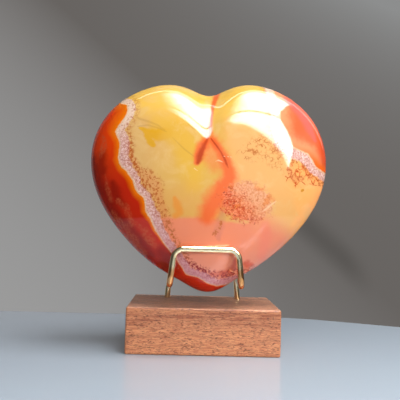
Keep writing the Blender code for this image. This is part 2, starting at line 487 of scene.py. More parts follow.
daylight = glowing("window light", WINDOW_STRENGTH)
rise = np.linspace(0.0, 1.0, PANE_ROWS)
lower_low, lower_high = towards(LOWER_PANE_LOW), towards(LOWER_PANE_HIGH)
upper_low, upper_high = towards(UPPER_PANE_LOW), towards(UPPER_PANE_HIGH)
lower_dim, upper_dim = curtained(LOWER_PANE_HIGH), curtained(UPPER_PANE_HIGH)
haze_low = towards(UPPER_PANE_HIGH, HAZE_DISTANCE)
haze_high = towards([(x, y + HAZE_REACH) for x, y in UPPER_PANE_HIGH], HAZE_DISTANCE)
strip_edges = [towards([(x, y + side * STRIP_HALF_WIDTH) for x, y in STRIP_LINE]) for side in (-1, 1)]
panes = [
    make_pane("lower_pane", lower_low, lower_high, daylight, lower_dim, soft_step(rise, -0.1, 0.25)),
    make_pane("upper_pane", upper_low, upper_high, daylight, upper_dim),
    make_pane("haze", haze_low, haze_high, daylight, upper_dim, (1 - rise) ** 3),
    make_pane("overhead_strip", *strip_edges, glowing("overhead light", STRIP_STRENGTH)),
]
for pane in panes:
    pane.visible_diffuse = False
print("panes:", [pane.name for pane in panes])

# %% [markdown]
# The panes are only seen in the polish. What they would give a dull surface comes from two softboxes,
# because those can be set apart: one low in front, to the right, fills the heart's face and its
# underside, and one overhead lights the table and the heart's top and casts the soft shadows to the
# left. Both are hidden from reflections, so the polish shows only the window and the room.

# %% The softboxes
FRONT_STRENGTH = 7.9
FRONT_LOW = [(0.04, -0.70, 0.08), (0.68, -0.70, 0.08)]
FRONT_HIGH = [(0.04, -0.80, 0.60), (0.68, -0.80, 0.60)]
OVERHEAD_STRENGTH = 15.0
OVERHEAD_NEAR = [(0.1, -0.40, 0.90), (0.6, -0.40, 0.90)]
OVERHEAD_FAR = [(0.1, 0.05, 0.90), (0.6, 0.05, 0.90)]

front_light = glowing("front light", FRONT_STRENGTH)
table_light = glowing("table light", OVERHEAD_STRENGTH)
for softbox in (
    make_pane("front_softbox", FRONT_HIGH, FRONT_LOW, front_light),
    make_pane("overhead_softbox", OVERHEAD_NEAR, OVERHEAD_FAR, table_light),
):
    softbox.visible_glossy = False
print("softbox strengths:", FRONT_STRENGTH, OVERHEAD_STRENGTH)

# %% [markdown]
# Polished wire shows the whole room, and would be nearly black in an empty one. A dim curved screen
# round the viewer's side stands for the room's pale walls. It fades out to the left, where the stone
# shows no reflection, and it is seen only in polish. An even grey world fills the shadows.

# %% The room screen and the world
ROOM_RADIUS = 1.5
ROOM_RIGHT = math.radians(80)
ROOM_LEFT = math.radians(-45)
ROOM_LINES = 25
ROOM_HEIGHTS = (0.0, 1.1)
ROOM_STRENGTH = 0.45
WORLD_GREY = 0.08

turn = np.linspace(ROOM_RIGHT, ROOM_LEFT, ROOM_LINES)
x, y = ROOM_RADIUS * np.sin(turn), -ROOM_RADIUS * np.cos(turn)
room_edges = [np.stack([x, y, np.full(ROOM_LINES, height)], -1) for height in ROOM_HEIGHTS]
room_fade = soft_step(turn, ROOM_LEFT, 0.1)
room_light = glowing("room light", ROOM_STRENGTH)
room_screen = make_pane("room_screen", *room_edges, room_light, room_fade, soft_step(rise, -0.1, 0.3))
room_screen.visible_diffuse = False
room_screen.visible_shadow = False

world = bpy.data.worlds.new("soft grey room")
world.use_nodes = True
world_colour = world.node_tree.nodes["Background"].inputs["Color"]
world_colour.default_value = (WORLD_GREY, WORLD_GREY, WORLD_GREY * 1.04, 1.0)
bpy.context.scene.world = world
print("room strength", ROOM_STRENGTH, "world grey", WORLD_GREY)

# %% [markdown]
# ## The heart's shape
#
# The real heart was sawn to an outline, ground on a wheel until both faces swelled, and tumbled to a
# polish. Its outline is one formula: a circle with a few slow waves, a narrow rise at the tip and a
# narrow dip at the cleft. Its faces swell like a sphere's, squeezed to the stone's thickness, with a
# valley that runs in from the cleft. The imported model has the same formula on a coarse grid, with a
# slightly blunter tip. Here it is worked out on a fine grid, so that the window's reflection has no
# corners in it.

# %% The heart's formula
HEART_CENTRE = Vector((1.0, -5.8, 72.05)) * MM
HEART_LEAN = math.radians(5.5)
HEART_TURN = math.radians(1.08)
HEART_HALF_THICKNESS = 17.5 * MM
HEART_PUFF = 2.5
HEART_MEAN_RADIUS = 47.5 * MM
HEART_WAVES = (-3.9 * MM, -2.92 * MM, 2.95 * MM)
HEART_UNEVENNESS = (0.0, -0.29 * MM, -0.12 * MM, -0.19 * MM)
TIP_RISE = 3.9 * MM
TIP_ANGLE = math.radians(12.8)
CLEFT_DEPTH = 6.7 * MM
CLEFT_ANGLE = math.radians(14.4)
VALLEY_SHARE = 0.5
VALLEY_ANGLE = math.radians(20.2)
VALLEY_REACH = 3.7


def bump(angle, width):
    """A smooth hump, 1 in the middle."""
    return np.exp(-((angle / width) ** 2))


def heart_radius(angle):
    """The outline's distance from its centre, at an angle from straight down, positive to the right.

    A mean radius, plus cosine waves of the angle, plus small sine waves, plus the tip's hump at the
    bottom, less the cleft's hump at the top.
    """
    side = np.abs(angle)
    waves = sum(size * np.cos((k + 1) * side) for k, size in enumerate(HEART_WAVES))
    uneven = sum(size * np.sin((k + 1) * angle) for k, size in enumerate(HEART_UNEVENNESS))
    ends = TIP_RISE * bump(side, TIP_ANGLE) - CLEFT_DEPTH * bump(math.pi - side, CLEFT_ANGLE)
    return HEART_MEAN_RADIUS + waves + uneven + ends


def heart_half_thickness(angle, across):
    """Half the middle's thickness, less the valley, which deepens from the middle to the cleft."""
    valley = VALLEY_SHARE * bump(math.pi - np.abs(angle), VALLEY_ANGLE)
    return HEART_HALF_THICKNESS * (1 - valley * across**VALLEY_REACH)


def heart_surface(angle, tilt):
    """Right, up and near of the surface. Tilt is 0 at the front pole, pi/2 at the outline, pi behind.

    Across is sin(tilt) to the power 2 / puff, times the outline's radius at that angle. Near is
    cos(tilt) times the half thickness there.
    """
    across = np.sin(tilt) ** (2 / HEART_PUFF)
    reach = across * heart_radius(angle)
    near = np.cos(tilt) * heart_half_thickness(angle, across)
    return np.stack(np.broadcast_arrays(reach * np.sin(angle), -reach * np.cos(angle), near), -1)


def heart_placement():
    """From the stone's own axes (right, up, towards the viewer) to the scene's."""
    upright = Matrix.Rotation(math.pi / 2 - HEART_LEAN, 4, "X")
    turned = Matrix.Rotation(HEART_TURN, 4, "Z")
    return Matrix.Translation(HEART_CENTRE) @ upright @ turned

# %% The heart's mesh
HEART_COLUMNS = 380
HEART_ROWS = 240
POLE_SPREAD = 1.2


def heart_grid():
    """Angles round the face, and tilts that crowd a little towards the outline."""
    angle = np.linspace(-math.pi, math.pi, HEART_COLUMNS, endpoint=False)
    share = np.linspace(-1.0, 1.0, HEART_ROWS + 2)[1:-1]
    tilt = math.pi / 2 * (1 + np.sign(share) * (1 - (1 - np.abs(share)) ** POLE_SPREAD))
    return angle, tilt[:, None]


stone_rings = heart_surface(*heart_grid())
stone_points, stone_faces = closed_rings(stone_rings)
placement = np.array(heart_placement())
placed_points = stone_points @ placement[:3, :3].T + placement[:3, 3]
heart = add_piece("heart_polished_stone", placed_points, stone_faces)
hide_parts("carnelian_heart")
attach(heart, "root")
print("heart:", len(stone_points), "points")

# %% [markdown]
# ## Where the stone's colours lie
#
# Carnelian is agate stained by iron. Its colours follow the layers in which the quartz grew: a dark
# red outer layer, then a thin granular lilac vein with scalloped edges, then clouded yellow. They
# could be painted on an image, but then they would be a skin. Here each mark is a short route across
# the face, and each point of the mesh keeps how near it is to that route, in millimetres. The
# material turns those distances into bands, grains and stains, so their fine edges come from noise
# and not from the mesh. Behind the front face the routes are carried on at a slant, as layers in a
# real stone are, so the back isn't a copy of the front.

# %% Distances to routes
def segment_distances(u, v, route):
    """For each stretch of a route, the distance to it and the share of it passed."""
    start = np.array(route, float)[:-1, :2]
    end = np.array(route, float)[1:, :2]
    for (u0, v0), (u1, v1) in zip(start, end):
        length = (u1 - u0) ** 2 + (v1 - v0) ** 2
        passed = np.clip(((u - u0) * (u1 - u0) + (v - v0) * (v1 - v0)) / length, 0, 1)
        yield np.hypot(u - u0 - passed * (u1 - u0), v - v0 - passed * (v1 - v0)), passed


def inside(u, v, outline):
    """True inside a closed outline: a line to the right crosses its sides an odd number of times."""
    odd = np.zeros(u.shape, bool)
    for (u0, v0), (u1, v1) in zip(outline, outline[1:] + outline[:1]):
        if v0 != v1:
            crosses = (v0 > v) != (v1 > v)
            odd ^= crosses & (u < u0 + (v - v0) * (u1 - u0) / (v1 - v0))
    return odd


def side_distance(u, v, edge, beyond):
    """Distance to an edge, above zero on the side that the points beyond close off."""
    nearest = np.min([distance for distance, _ in segment_distances(u, v, edge)], axis=0)
    return np.where(inside(u, v, edge + beyond), nearest, -nearest)


def stroke(u, v, *routes):
    """1 on a route's line, 0 at its radius and less outside. Each knot is (u, v, radius)."""
    found = []
    for route in routes:
        radii = [knot[2] for knot in route]
        for (distance, passed), r0, r1 in zip(segment_distances(u, v, route), radii, radii[1:]):
            found.append(1 - distance / (r0 + (r1 - r0) * passed))
    return np.maximum(np.max(found, axis=0), -3.0)

# %% The edges, in millimetres to the right of and above the middle of the face
# Each edge, and the points that close off the side beyond it.
EDGES = {
    "left_red": (
        [
            (-41.5, 37), (-38.3, 32.9), (-35.6, 31.6), (-34.8, 28.3), (-35.6, 26.2), (-38.2, 22),
            (-39.8, 18.9), (-38.2, 15.4), (-37.5, 12), (-38, 7), (-36.5, 3.5), (-33.1, 0), (-31.5, -2.5),
            (-30.9, -5), (-29.6, -7.4), (-27, -9.5), (-26.4, -12.3), (-26.4, -15.1), (-23.8, -18.2),
            (-22.1, -22.7), (-18.6, -27.6), (-15.4, -31.8), (-13.2, -34.2), (-9.4, -39.9), (-4.6, -41.4),
            (-0.8, -43.4), (3.4, -44.8), (7.4, -44.2), (12, -43), (18, -41.6), (24, -41),
        ],
        [(24, -70), (-70, -70), (-70, 40)],
    ),
    "right_red": (
        [
            (28, 43), (28.4, 37), (29.5, 30), (29.5, 22), (31.5, 15.5), (35, 12.4), (38.5, 11.2),
            (41.6, 10.2), (43.4, 7.8), (45, 5.2), (48, 3.8), (56, 3.4),
        ],
        [(70, 3), (70, 60), (28, 60)],
    ),
    "salmon_and_table_reflection": (
        [
            (-40, -14.5), (-24.4, -16.1), (-18.2, -17.4), (-10.2, -17.4), (-2.2, -17.8), (5.9, -18.9),
            (14, -19.6), (19.4, -17.8), (23.6, -15.6), (29.7, -18.4), (38, -22), (60, -24),
        ],
        [(60, -70), (-40, -70)],
    ),
}
print("edges:", ", ".join(EDGES))

# %% The strokes that go on behind the face, each knot with its radius
DEEP_STROKES = {
    "lemon": [[(-22, 21, 6), (-15, 18, 8), (-10, 12, 8), (-8, 4, 7), (-7, -4, 5)]],
    "pink": [[(22.4, -20, 2.8), (23, -26, 3.6), (22, -32, 3)]],
    "right_pink_reflection": [[(33, 36, 1.6), (37.8, 31.1, 3.4), (41, 27, 3.6), (43.2, 21.5, 2.6), (45, 17, 1.2)]],
    "tip_red": [
        [(1, -40, 1), (4.2, -40, 1.6), (7.4, -39.4, 1.8), (10, -37.4, 1.8), (10.6, -34, 1)],
        [(14.6, -35.6, 1.2), (16.1, -35.8, 1.8), (18.2, -36, 1)],
    ],
    "dots": [
        [
            (-33.6, 12, 1), (-32.4, 7, 1.8), (-29.6, 1.5, 2.4), (-26, -1.5, 4.4), (-22.5, -5, 4.2),
            (-20.4, -10.5, 2.4),
        ],
        [(-19.8, -13, 2.6), (-17.8, -19, 2.8), (-15.8, -25, 2.4), (-13.6, -29.5, 1.4)],
        [
            (-9.6, -34.4, 1.4), (-6.4, -37, 1.8), (-2.6, -39, 2), (2.8, -40.6, 2.4), (7.4, -40.6, 2.2),
            (11, -38.8, 1.6),
        ],
        [(4.4, -19.5, 1), (3, -22, 1.6), (1.6, -24.5, 1)],
        [(32, 3, 1.4), (33.6, 0.4, 1.8), (35.8, -1, 1.6), (38.4, -0.2, 1.4)],
    ],
    "dendrites": [
        [
            (32.6, 0.6, 3.4), (34.6, 3.2, 3.2), (36.9, 0.6, 4.2), (40.2, 2, 4.4), (44.5, -0.2, 3.2),
            (49.5, -0.2, 2.4),
        ],
        [(36.6, -2.8, 2.4), (39.5, -1.8, 2)],
    ],
    "dark": [
        [(-49, 8, 1.6), (-47.6, 1, 2.2), (-44.6, -6, 2.6), (-41.6, -11.4, 2.4), (-37.6, -17, 1.5)],
        [(-37.6, -17, 1.5), (-32, -22.6, 1.6), (-27.6, -27.6, 1.5), (-24, -32, 1.6)],
        [(-45.4, 8.6, 1.6), (-45.6, 4.6, 2.2), (-44.6, 1.6, 1.4)],
        [(-40.4, -3, 1), (-38.8, -8, 2), (-36, -12, 1.2)],
        [(-20, -31.4, 1.8), (-17.6, -33.6, 2.8), (-15.4, -36.6, 2.2)],
    ],
    "veil": [
        [(-45.6, 18, 1), (-44.6, 13.6, 2.2), (-46.2, 9, 1.4)],
        [(-43.6, 1, 0.8), (-42.8, -4.6, 1.6), (-41.4, -9.6, 2)],
        [(-37.2, -10.6, 2.2), (-34.6, -13.2, 2.4), (-33, -16.6, 1.8), (-31, -19.6, 2.2)],
        [(-40.6, -15, 2), (-36.6, -20.6, 2.6), (-31.6, -26.4, 2.6), (-26.6, -31.4, 1.8)],
        [(-28.6, -21, 2), (-25.6, -24.6, 2.8), (-22.6, -28.4, 2.2)],
    ],
}
print("deep strokes:", ", ".join(DEEP_STROKES))

# %% The strokes that fade behind the face
FRONT_STROKES = {
    "cleft_stain": [
        [(3.3, 39.5, 1.8), (2.3, 35.2, 1.5), (1, 30.3, 1.2), (0.2, 24.8, 1.1), (-0.5, 18, 1.6)],
    ],
    "stain": [
        [(-1.2, 15, 2.2), (-3.2, 11.5, 3.2), (-4.8, 7.6, 3), (-5.6, 5, 1.8)],
        [
            (0.6, 14.4, 2.2), (2.6, 11.4, 2.4), (4.4, 8.6, 2.6), (6, 5.4, 3), (7.4, 1.8, 3.6),
            (7.6, -1.4, 4.2), (6, -4.4, 4.8), (3.6, -8, 5.4), (1.2, -12, 5.6), (-0.8, -15.4, 5),
            (-1.6, -17.6, 3.6),
        ],
    ],
    "fork": [[(-0.4, 17, 2.4), (0, 14, 4.6), (0.6, 10.6, 6.6), (1.2, 7.4, 7), (2, 4, 5)]],
    "stain_core": [
        [(-1, 15.6, 0.7), (-2.6, 12.1, 1.5), (-3.8, 8.8, 1.9), (-4.6, 6.4, 1.9), (-5.2, 4.6, 1.1)],
        [(0.1, 15, 0.5), (2.1, 12.2, 0.6), (4.1, 9.2, 0.7), (5.8, 5.9, 0.7), (7, 2.6, 0.5)],
        [(0.9, 29.5, 0.3), (0.3, 25, 0.6), (-0.3, 19.8, 0.6), (-0.6, 16.2, 0.7)],
    ],
    "honey": [
        [(-29.6, 19.8, 0.5), (-27.6, 18.9, 1.2), (-24.6, 16.9, 3), (-21.5, 16.6, 3.2), (-18, 17, 2.8)],
        [(-26.4, 16.4, 1.4), (-25, 14, 1.8), (-23.4, 12, 1.2)],
    ],
    "fracture": [
        [(-33, 25.6, 0.4), (-29.2, 23.8, 0.8), (-25.8, 22.5, 0.8), (-22, 20.8, 0.7), (-19, 18.6, 0.4)],
        [(-30.5, 20.4, 0.4), (-26, 20.9, 0.8), (-22, 19.6, 0.6), (-18, 17.6, 0.4)],
        [(-16, 15.5, 0.3), (-10.5, 10, 0.6), (-6.5, 7, 0.4)],
    ],
    "warm_spot": [[(-14.4, -9.8, 1.2), (-13.2, -12.8, 2.8), (-12.2, -15.6, 2.4), (-14, -17, 2)]],
    "dusk": [[(5, -15.4, 2), (3.9, -19.3, 2.8), (3, -23, 2.6), (3.4, -26, 1.2)]],
    "fine_dots": [[(12.5, 8.5, 2.5), (17, 10, 5.2), (21.5, 12, 6.4), (25.8, 9.6, 6.4), (27.6, 5.2, 3.6)]],
    "ochre_dot": [[(38.2, -5.4, 0.8), (38.8, -5.1, 0.8)]],
    "scratch": [
        [(21, -14.9, 0.3), (23.9, -12.6, 0.6), (26.9, -10.3, 0.35)],
        [(1.9, 5.4, 0.3), (3.3, 5.7, 0.5), (5.4, 4.9, 0.3)],
        [(4.5, 7.5, 0.2), (8.6, 7.2, 0.3)],
        [(-6.8, 2.4, 0.3), (-5.2, 1.2, 0.2)],
    ],
}
print("front strokes:", ", ".join(FRONT_STROKES))

# %% Store the distances on the heart
PATCH_CENTRE = (14.9, -11.2)
PATCH_RADII = (11.8, 9)
PATCH_TURN = math.radians(-8)
SLANT = (-0.34, 0.16)
FRONT_MARK_DEPTH = 9.0
FULL_FADE = 3.0
SLOW_FADES = {"cleft_stain": 0.25, "stain": 0.5, "patch": 0.3}


def depth_behind_face(points):
    """How far a point is behind the front face, measured straight back: 0 all over the front."""
    right, up, near = points.T
    angle = np.arctan2(right, -up)
    across = np.minimum(np.hypot(right, up) / heart_radius(angle), 1.0)
    swell = np.sqrt(np.maximum(1 - across**HEART_PUFF, 0.0))
    return swell * heart_half_thickness(angle, across) - near


def patch_level(u, v):
    """1 at the middle of the speckled patch, 0 on the ellipse round it."""
    du, dv = u - PATCH_CENTRE[0], v - PATCH_CENTRE[1]
    along = du * math.cos(PATCH_TURN) + dv * math.sin(PATCH_TURN)
    across = -du * math.sin(PATCH_TURN) + dv * math.cos(PATCH_TURN)
    return 1 - np.hypot(along / PATCH_RADII[0], across / PATCH_RADII[1])


depth = depth_behind_face(stone_points) / MM
u = stone_points[:, 0] / MM + SLANT[0] * depth
v = stone_points[:, 1] / MM + SLANT[1] * depth
fade = FULL_FADE * np.clip(depth / FRONT_MARK_DEPTH, 0, 1)
marks = {name: side_distance(u, v, *edge) for name, edge in EDGES.items()}
marks |= {name: stroke(u, v, *routes) for name, routes in DEEP_STROKES.items()}
front_marks = {name: stroke(u, v, *routes) for name, routes in FRONT_STROKES.items()}
front_marks["patch"] = patch_level(u, v)
marks |= {name: level - SLOW_FADES.get(name, 1) * fade for name, level in front_marks.items()}
marks["stain"] = np.maximum(marks["stain"], marks.pop("cleft_stain"))
marks |= {"across": u, "upward": v}
for name, values in marks.items():
    store(heart, name, values)
print("marks on the stone:", ", ".join(marks))

# %% [markdown]
# ## The stone's finish
#
# The material lays the colours over each other as the layers lie in the stone: first the clouded
# yellow body, then stains, speckles, the vein, and last the red outer layer. Each layer's mask is a
# stored distance plus noise, so no edge is a clean line. A layer could have a material of its own,
# but then its edge would follow the mesh. The polish is a low roughness, which gives the glassy
# reflection of quartz.

# %% The stone's tones
STONE_SHARE = 0.8


def stone(red, green, blue):
    """A tone as it looks in full light. The stone gives back a share of it."""
    return (*(value * STONE_SHARE for value in colour(red, green, blue)[:3]), 1.0)


BEIGE, YELLOW, LEMON_YELLOW = stone(229, 179, 108), stone(229, 179, 86), stone(238, 184, 56)
PEACH, APRICOT, LIT_RIM_APRICOT = stone(243, 180, 110), stone(252, 178, 94), colour(255, 166, 96)
TOP_GOLD, MILKY, OCHRE = stone(247, 197, 90), stone(238, 198, 138), stone(230, 168, 92)
SALMON_PINK, SALMON_LOW, DEEP_PINK = stone(244, 131, 100), stone(238, 138, 118), stone(246, 122, 100)
HONEY_ORANGE, WARM_ORANGE = stone(230, 168, 14), stone(242, 146, 52)
CRACK_BROWN, DUSKY_PINK, TIP_RUST = stone(176, 128, 60), stone(190, 112, 104), stone(206, 66, 38)
STAIN_ORANGE, STAIN_RED = stone(246, 108, 54), stone(188, 60, 22)
PATCH_TAN, PATCH_PALE = stone(232, 146, 104), stone(248, 178, 138)
PATCH_RED, PATCH_PINK, PATCH_ORANGE = stone(222, 82, 42), stone(252, 144, 108), stone(242, 128, 48)
LINE_BROWN, SPECK_RED, SPECK_DARK = stone(200, 96, 46), stone(206, 60, 16), stone(150, 38, 14)
FINE_BROWN, BRANCH_GROUND, BRANCH_RUST = stone(196, 106, 42), stone(248, 160, 84), stone(204, 80, 24)
DOT_GROUND, OCHRE_SPOT, SCRATCH_AND_GLINT = stone(226, 132, 84), stone(214, 140, 40), stone(255, 210, 168)
SPECK_BROWN, SPECK_MAUVE, CREAM = stone(194, 98, 38), stone(150, 34, 40), stone(246, 208, 150)
LILAC, LILAC_PALE, LILAC_DARK = stone(230, 177, 164), stone(250, 216, 208), stone(206, 142, 130)
LILAC_SHADED_LOW, LILAC_TOP = stone(202, 118, 132), stone(255, 228, 200)
RED_ORANGE, RED_TOP, RED_LOW = stone(250, 128, 4), stone(240, 66, 2), stone(202, 38, 10)
RED_DARK, VEIL_RED, REFLECTION_PINK = stone(124, 14, 2), stone(206, 92, 52), stone(236, 112, 116)
BRIGHT_ORANGE, RIGHT_RED = stone(250, 156, 108), stone(252, 108, 66)
RIGHT_RIM, EDGE_ORANGE = stone(214, 72, 24), stone(244, 102, 8)

# %% The stone's marks and noises
carnelian = new_material("polished carnelian")
place = object_place(carnelian)
mark = {name: attribute(carnelian, name) for name in marks}
across, upward = mark["across"], mark["upward"]
cloud = noise(place, 75.0)
mottle = noise(place, 260.0, detail=4.0, roughness=0.6)
blotch = noise(place, 150.0, detail=5.0, roughness=0.65, distortion=0.4)
grain = noise(place, 1300.0, detail=2.0, roughness=0.7)
specks = noise(place, 900.0, roughness=0.65)

# %% [markdown]
# Most colours come in the same way: where a mark, roughened by a noise, rises between two levels. So
# they are rows of a table, in the order in which they are laid: the mark, the noise's span, the two
# levels, the colour's greatest share, and the colour.

# %% The clouded body
BODY_COATS = [
    ("across", 16, -26, -10, 1.0, YELLOW),
    ("across", 16, 3, 13, 1.0, PEACH),
    ("across", 16, 28, 42, 1.0, APRICOT),
    # Painted light: a brighter apricot on the right rim, not scaled like the stone's other tones.
    ("across", 16, 31, 45, 1.0, LIT_RIM_APRICOT),
    ("lemon", 1, -0.1, 0.8, 0.6, LEMON_YELLOW),
    ("upward", 12, 20, 32, 1.0, TOP_GOLD),
]


def lay_coats(tone, coats, by):
    for name, span, low, high, share, over in coats:
        tone = lay(tone, over, shifted(mark[name], span, by), low, high, share)
    return tone


tone = lay_coats(BEIGE, BODY_COATS, cloud)
milk = noise(place, 120.0, detail=5.0, roughness=0.6, distortion=0.5)
tone = lay(tone, MILKY, milk, 0.46, 0.7, 0.45)
cloudy_across = shifted(across, 16, cloud)
to_left = step(cloudy_across, 24, 4)
tone = lay(tone, OCHRE, shifted(upward, 12, cloud), 0, -14, 0.7 * to_left)

# %% The salmon lower part: partly the stone's own pink, partly a painted reflection of the pale table
# Its upper edge is crisp at the left and soft at the right, where it also thins out.
below_edge = shifted(mark["salmon_and_table_reflection"], 2.2, mottle)
crisp = step(below_edge, -0.8, 1.0)
soft = step(below_edge, -3.0, 7.0)
salmon_and_table_reflection = crisp + (soft - crisp) * step(cloudy_across, 12, 24)
salmon_and_table_reflection = salmon_and_table_reflection * (0.4 + 0.45 * step(cloudy_across, 46, 28))
tone = blend(salmon_and_table_reflection, tone, blend(step(upward, -24, -38), SALMON_PINK, SALMON_LOW))
tone = lay(tone, DEEP_PINK, shifted(mark["pink"], 0.6, mottle), -0.2, 0.8, 0.45)

# %% The honey patch, the fractures and the stain that forks below the cleft
STAIN_COATS = [
    ("warm_spot", 0.6, 0, 0.8, 0.7, WARM_ORANGE),
    ("fracture", 0, 0, 1, 0.3, CRACK_BROWN),
    ("fork", 0.9, -0.1, 0.8, 0.5, STAIN_ORANGE),
    ("stain", 0.7, -0.2, 0.7, 0.95, STAIN_ORANGE),
    ("stain_core", 0.9, 0, 0.8, 0.85, STAIN_RED),
    ("dusk", 1.2, -0.1, 0.9, 0.35, DUSKY_PINK),
    ("tip_red", 2.2, -0.3, 0.9, 0.7, TIP_RUST),
]

honey_share = 0.25 + 0.6 * step(across, -16.5, -23.5)
tone = lay(tone, HONEY_ORANGE, shifted(mark["honey"], 1.3, mottle), -0.15, 0.5, honey_share)
tone = lay_coats(tone, STAIN_COATS, mottle)

# %% [markdown]
# Iron has crept along the joints between the stone's grains, as a net of fine broken lines. The cells
# of a Voronoi texture have such edges. Its place is bent by noise, so that the lines wander, and a
# second noise breaks them off here and there.

# %% The veinlet group
WOBBLE = (0.0012, 0.0012, 0.0012)


def make_veinlets():
    """A line is where the distance to a cell's edge is under the line's width."""
    values = ("Cell Scale", "Line Width", "Cover")
    group, (place, scale, width, cover), leave = new_group("fine veinlets", values, "Mask")
    wobble = noise(place, 700.0, detail=2.0, output="Color")
    bent = add_node("VectorMath", {0: wobble, 1: WOBBLE, 2: place}, operation="MULTIPLY_ADD")
    inputs = {"Vector": bent, "Scale": scale}
    cells = add_node("TexVoronoi", inputs, "Distance", feature="DISTANCE_TO_EDGE")
    line = calc("DIVIDE", width - cells, width, clamp=True)
    kept = calc("ADD", 5.0 * noise(place, 520.0, detail=2.0), 4.0 * cover - 4.6, clamp=True)
    feed(leave, calc("MULTIPLY", line, 1.6, clamp=True) * kept)
    return group


VEINLETS = make_veinlets()


def veinlets(cell, width, cover):
    """Lines round cells of a size in millimetres. A higher cover keeps more of each line."""
    inputs = {"Vector": place, "Cell Scale": 1 / (cell * MM), "Line Width": width, "Cover": cover}
    return add_node("Group", inputs, node_tree=VEINLETS)


print("node group:", VEINLETS.name)

# %% The granular patch, redder at its lower left
patch = shifted(mark["patch"], 0.6, specks)
within = step(shifted(patch, 0.5, noise(place, 420.0, detail=2.0)), 0, 0.22)
redder = step(shifted(0.9 * upward + across, 12, noise(place, 300.0)), 12, -4)
coarse = step(grain, 0.35, 0.62)
ground = blend(redder, blend(coarse, PATCH_TAN, PATCH_PALE), blend(coarse, PATCH_RED, PATCH_PINK))
ground = lay(ground, PATCH_ORANGE, noise(place, 190.0), 0.5, 0.6, 0.6)
tone = blend(0.85 * within, tone, ground)
lines = veinlets(1.4, 0.18, 0.48 + 0.2 * redder)
tone = blend(0.85 * lines * within, tone, blend(redder, LINE_BROWN, SPECK_RED))
tone = lay(tone, SPECK_DARK, specks, 0.57, 0.63, (0.15 + 0.5 * redder) * within)

# %% The fine branches and the dots beside the vein
fine = step(mark["fine_dots"], -0.1, 0.5)
tone = blend(0.9 * veinlets(1.5, 0.15, 0.6) * fine, tone, FINE_BROWN)
branched = step(mark["dendrites"], -0.1, 0.4)
tone = blend(0.2 * branched, tone, BRANCH_GROUND)
tone = blend(veinlets(3.0, 0.1, 0.68) * branched, tone, BRANCH_RUST)
speck = blend(step(upward, -30, -37), SPECK_BROWN, SPECK_MAUVE)
tone = lay(tone, DOT_GROUND, mark["dots"], 0, 0.7, 0.4 * step(upward, -28, -20))
tone = lay(tone, speck, specks, 0.505, 0.58, 0.85 * step(mark["dots"], -0.2, 0.5))
tone = lay(tone, OCHRE_SPOT, mark["ochre_dot"], 0, 0.6)

# %% The vein's grains, dark, middling and pale, with painted shade that turns them darker mauve towards the heart's tip
VEIN_COATS = [
    (grain, 0.52, 0.66, 1.0, LILAC_PALE),
    (upward, 12, 26, 0.7, LILAC_TOP),
    (specks, 0.585, 0.64, 0.45, SPECK_MAUVE),
    # Painted shade on the heart's underside.
    (upward, -8, -40, 0.7, LILAC_SHADED_LOW),
]

vein = blend(step(grain, 0.36, 0.5), LILAC_DARK, LILAC)
for mask, low, high, share, over in VEIN_COATS:
    vein = lay(vein, over, mask, low, high, share)


# %% The red outer layer
def left_red(depth):
    """A translucent orange rim, widest at the top, then red, with darker cores and smoky veils."""
    rim = 0.3 + 2.4 * step(upward, -34, -6) + 3.2 * step(upward, 14, 27)
    red = blend(step(upward, 16, -8), RED_TOP, RED_LOW)
    tone = blend(calc("DIVIDE", depth - 0.2, rim, clamp=True), RED_ORANGE, red)
    dark = shifted(shifted(mark["dark"], 2.4, blotch), 1.6, mottle)
    tone = lay(tone, RED_DARK, dark, -1.4, 0.9, 0.6)
    veil = shifted(shifted(mark["veil"], 2.6, blotch), 1.6, mottle)
    return lay(tone, VEIL_RED, veil, 0.05, 0.9, 0.2 + 0.45 * step(specks, 0.42, 0.6))


def right_red(depth):
    """Peach at the thin edge, orange-red deeper, a painted pink reflection, a darker rim, an orange lower
    edge.
    """
    tone = blend(step(shifted(depth, 4, mottle), 1.5, 7), BRIGHT_ORANGE, RIGHT_RED)
    # A painted reflection: pink over the upper right of the red layer.
    tone = lay(tone, REFLECTION_PINK, shifted(mark["right_pink_reflection"], 0.9, mottle), -0.3, 0.9, 0.6)
    tone = lay(tone, RIGHT_RIM, across, 44, 51)
    return lay(tone, EDGE_ORANGE, depth, 4.5, 0.8, 0.9 * step(upward, 16, 6))


# %% Lay the vein and the red layer on each side
SIDES = [("left_red", 4.2, left_red), ("right_red", 5.0, right_red)]


def lay_vein(tone, side, width, layer):
    """From the yellow body outwards: rusty dots, the granular vein, a cream line, and the red layer.

    The vein is narrower at its ends and at its waist.
    """
    depth = shifted(mark[side], 1.4, mottle)
    low_end, top_end = step(upward, -10, -38), step(upward, 14, 26)
    waist = step(upward, 7, 1) * step(upward, -15, -8)
    inner = width + shifted(depth, 2.6, specks) - 1.5 * low_end - 0.9 * top_end - 1.3 * waist
    rusty = step(inner, -3, -0.3) * (1.0 - 0.5 * top_end)
    tone = lay(tone, speck, specks, 0.45, 0.56, 0.9 * rusty)
    inside_vein = step(inner, -0.3, 0.3)
    tone = blend(inside_vein, tone, vein)
    tone = lay(tone, speck, specks, 0.52, 0.58, 0.6 * inside_vein * step(inner, 2.8, 0))
    tone = lay(tone, CREAM, depth, -0.7, -0.2, 0.6 - 0.4 * low_end)
    return blend(step(depth, -0.1, 0.4), tone, layer(depth))


for side, width, layer in SIDES:
    tone = lay_vein(tone, side, width, layer)
# Scratches, with the glint they catch painted pale into the colour.
tone = lay(tone, SCRATCH_AND_GLINT, mark["scratch"], 0, 0.8, 0.7)
set_shader(carnelian, Base_Color=tone, Roughness=smudged(place, 60.0, 0.04, 0.08), IOR=1.46)
heart.data.materials.append(carnelian)
print("stone material:", len(carnelian.node_tree.nodes), "nodes")

